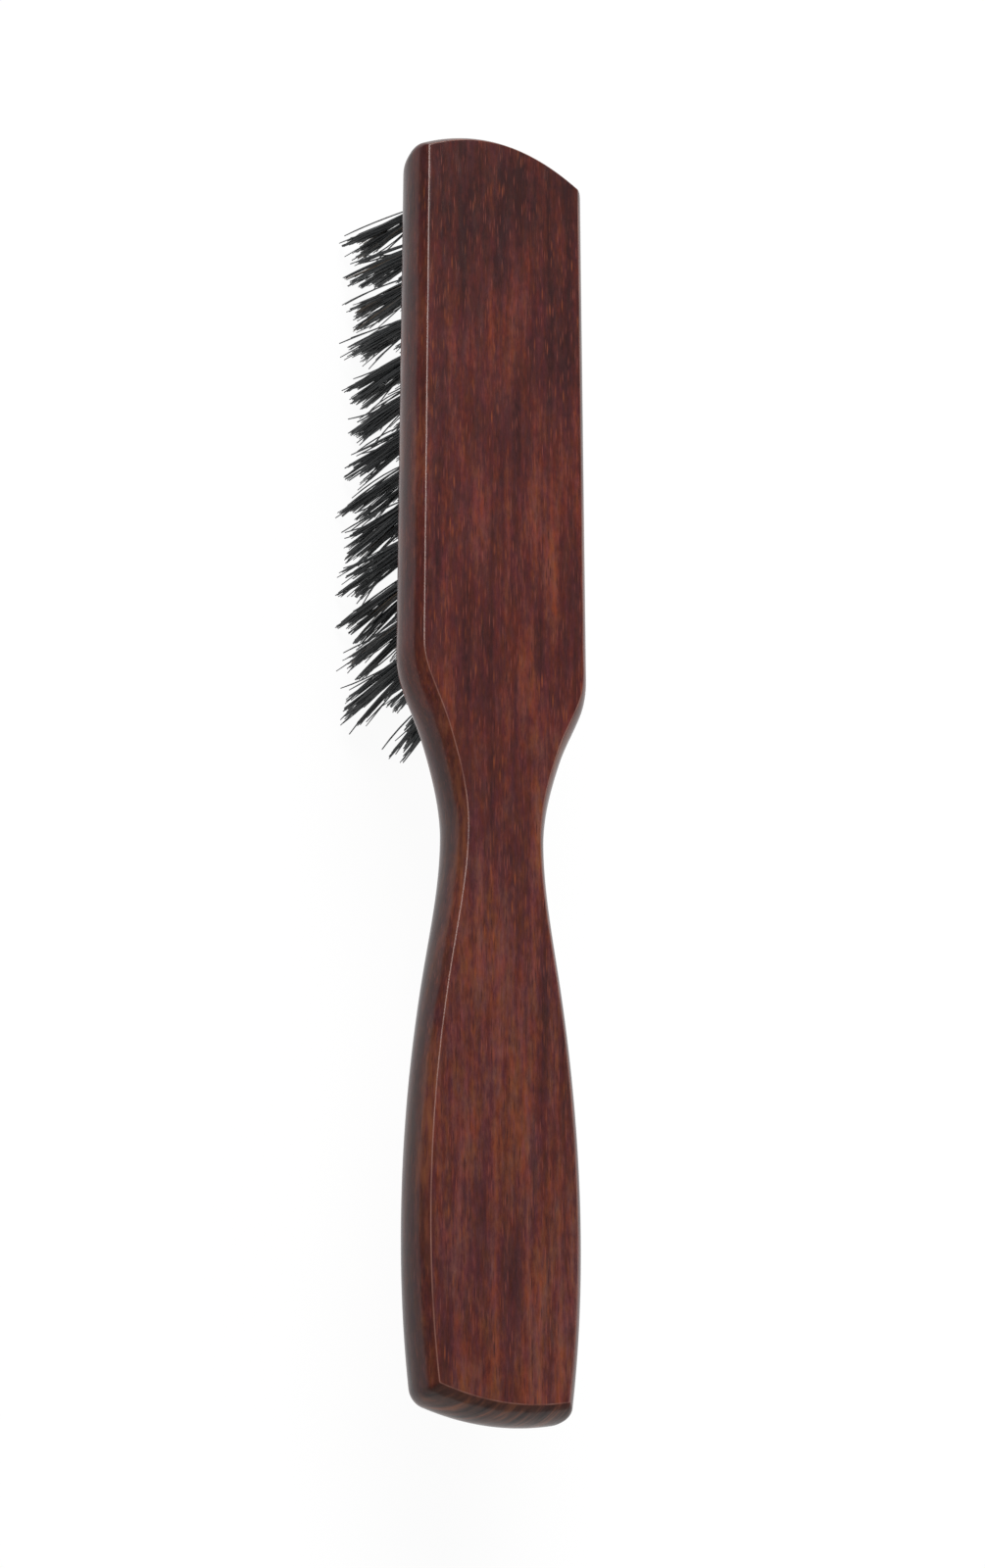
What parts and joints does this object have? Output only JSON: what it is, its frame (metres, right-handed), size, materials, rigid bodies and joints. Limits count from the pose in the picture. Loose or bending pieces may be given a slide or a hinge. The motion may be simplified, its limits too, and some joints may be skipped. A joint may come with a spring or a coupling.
{
  "type": "beard brush",
  "caption": "Narrow wooden hand brush with a flat back, a waisted handle and rows of stiff natural bristle tufts for grooming a beard.",
  "frame": {"origin": "on the surface that the brush stands on, on its bristle tips, below the middle of the brush's bounding box", "axes": "+Z out of the flat back of the wood, +Y along the brush from the handle to the head, +X across it"},
  "size_m": [0.0314, 0.2, 0.0262],
  "materials": {
    "stained_beech": "satin mahogany stain over fine straight grain",
    "boar_bristle": "stiff black natural bristle with a slight sheen",
    "anchor_wire": "flat steel wire that pins each tuft in its hole"
  },
  "bodies": {
    "root": {"wooden_body": "stained_beech", "tuft_outer_left_01": "boar_bristle", "tuft_outer_left_02": "boar_bristle", "tuft_outer_left_03": "boar_bristle", "tuft_outer_left_04": "boar_bristle", "tuft_outer_left_05": "boar_bristle", "tuft_outer_left_06": "boar_bristle", "tuft_outer_left_07": "boar_bristle", "tuft_outer_left_08": "boar_bristle", "tuft_outer_left_09": "boar_bristle", "tuft_outer_left_10": "boar_bristle", "tuft_outer_left_11": "boar_bristle", "tuft_outer_left_12": "boar_bristle", "tuft_outer_left_13": "boar_bristle", "tuft_inner_left_01": "boar_bristle", "tuft_inner_left_02": "boar_bristle", "tuft_inner_left_03": "boar_bristle", "tuft_inner_left_04": "boar_bristle", "tuft_inner_left_05": "boar_bristle", "tuft_inner_left_06": "boar_bristle", "tuft_inner_left_07": "boar_bristle", "tuft_inner_left_08": "boar_bristle", "tuft_inner_left_09": "boar_bristle", "tuft_inner_left_10": "boar_bristle", "tuft_inner_left_11": "boar_bristle", "tuft_inner_left_12": "boar_bristle", "tuft_inner_left_13": "boar_bristle", "tuft_inner_right_01": "boar_bristle", "tuft_inner_right_02": "boar_bristle", "tuft_inner_right_03": "boar_bristle", "tuft_inner_right_04": "boar_bristle", "tuft_inner_right_05": "boar_bristle", "tuft_inner_right_06": "boar_bristle", "tuft_inner_right_07": "boar_bristle", "tuft_inner_right_08": "boar_bristle", "tuft_inner_right_09": "boar_bristle", "tuft_inner_right_10": "boar_bristle", "tuft_inner_right_11": "boar_bristle", "tuft_inner_right_12": "boar_bristle", "tuft_inner_right_13": "boar_bristle", "tuft_outer_right_01": "boar_bristle", "tuft_outer_right_02": "boar_bristle", "tuft_outer_right_03": "boar_bristle", "tuft_outer_right_04": "boar_bristle", "tuft_outer_right_05": "boar_bristle", "tuft_outer_right_06": "boar_bristle", "tuft_outer_right_07": "boar_bristle", "tuft_outer_right_08": "boar_bristle", "tuft_outer_right_09": "boar_bristle", "tuft_outer_right_10": "boar_bristle", "tuft_outer_right_11": "boar_bristle", "tuft_outer_right_12": "boar_bristle", "tuft_outer_right_13": "boar_bristle"}
  },
  "joints": []
}
